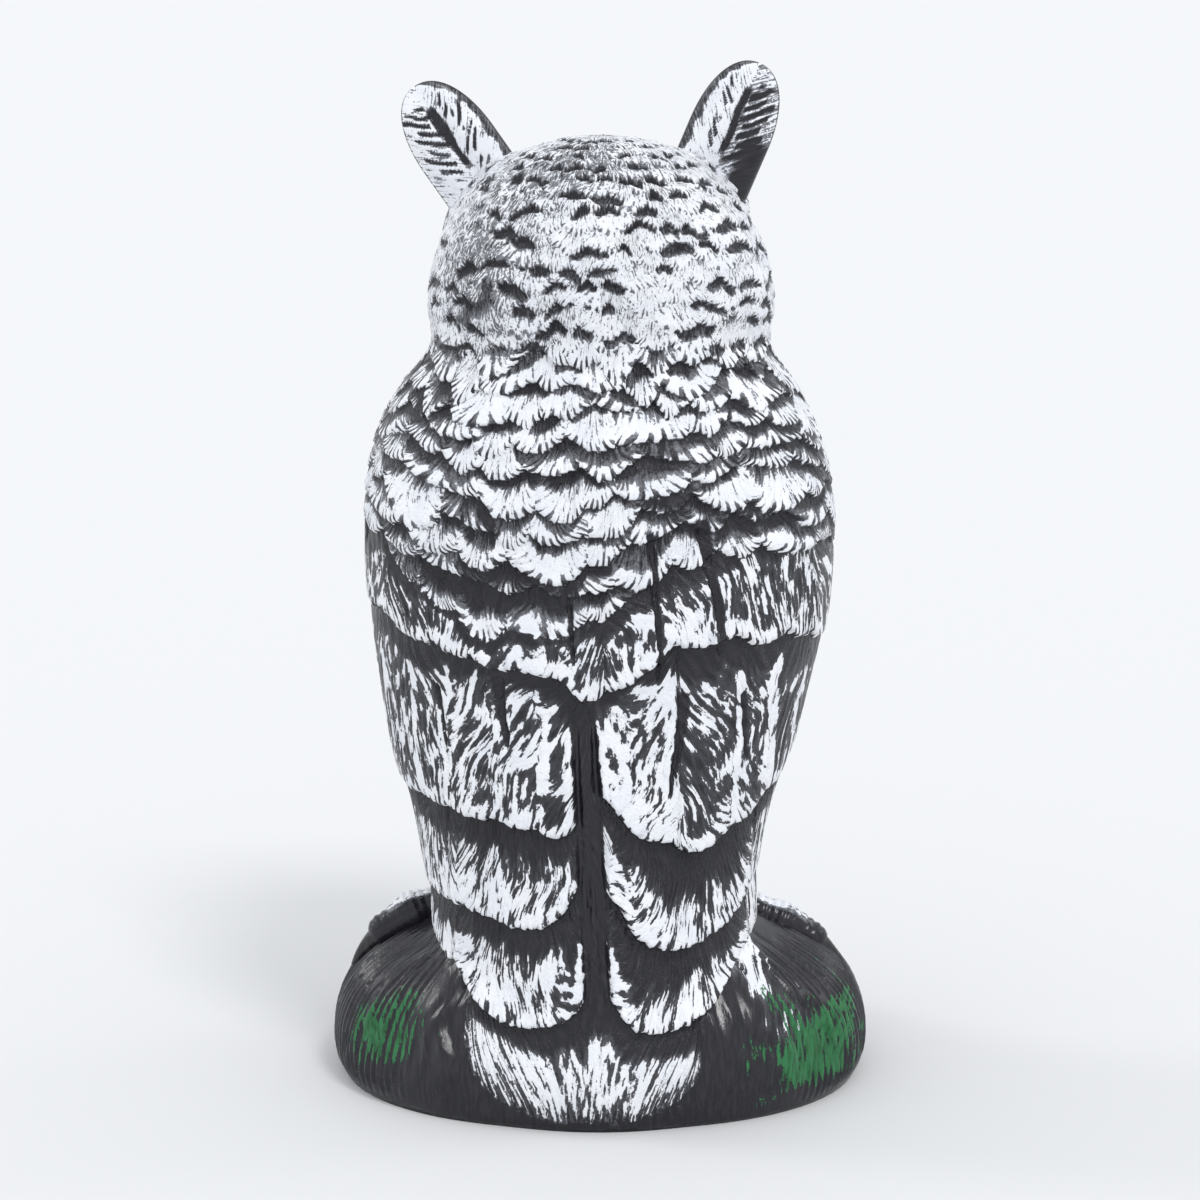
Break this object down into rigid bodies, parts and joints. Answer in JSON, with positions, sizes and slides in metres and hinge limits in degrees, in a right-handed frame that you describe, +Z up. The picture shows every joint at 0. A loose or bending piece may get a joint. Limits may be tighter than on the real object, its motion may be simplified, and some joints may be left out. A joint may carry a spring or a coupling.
{
  "type": "owl decoy",
  "caption": "Moulded owl figure with ear tufts and scalloped feathers, standing on a rounded ribbed mound, to stand in a garden or on a ledge and scare birds.",
  "frame": {"origin": "centre of the underside of the mound, on the floor", "axes": "+Z up, the owl faces -Y, its left is +X"},
  "size_m": [0.215, 0.1771, 0.4004],
  "materials": {
    "painted_plastic": "satin charcoal plastic with white dry-brushed feather tips and green dabs on the mound"
  },
  "bodies": {
    "root": {"owl_decoy": "painted_plastic"}
  },
  "joints": []
}
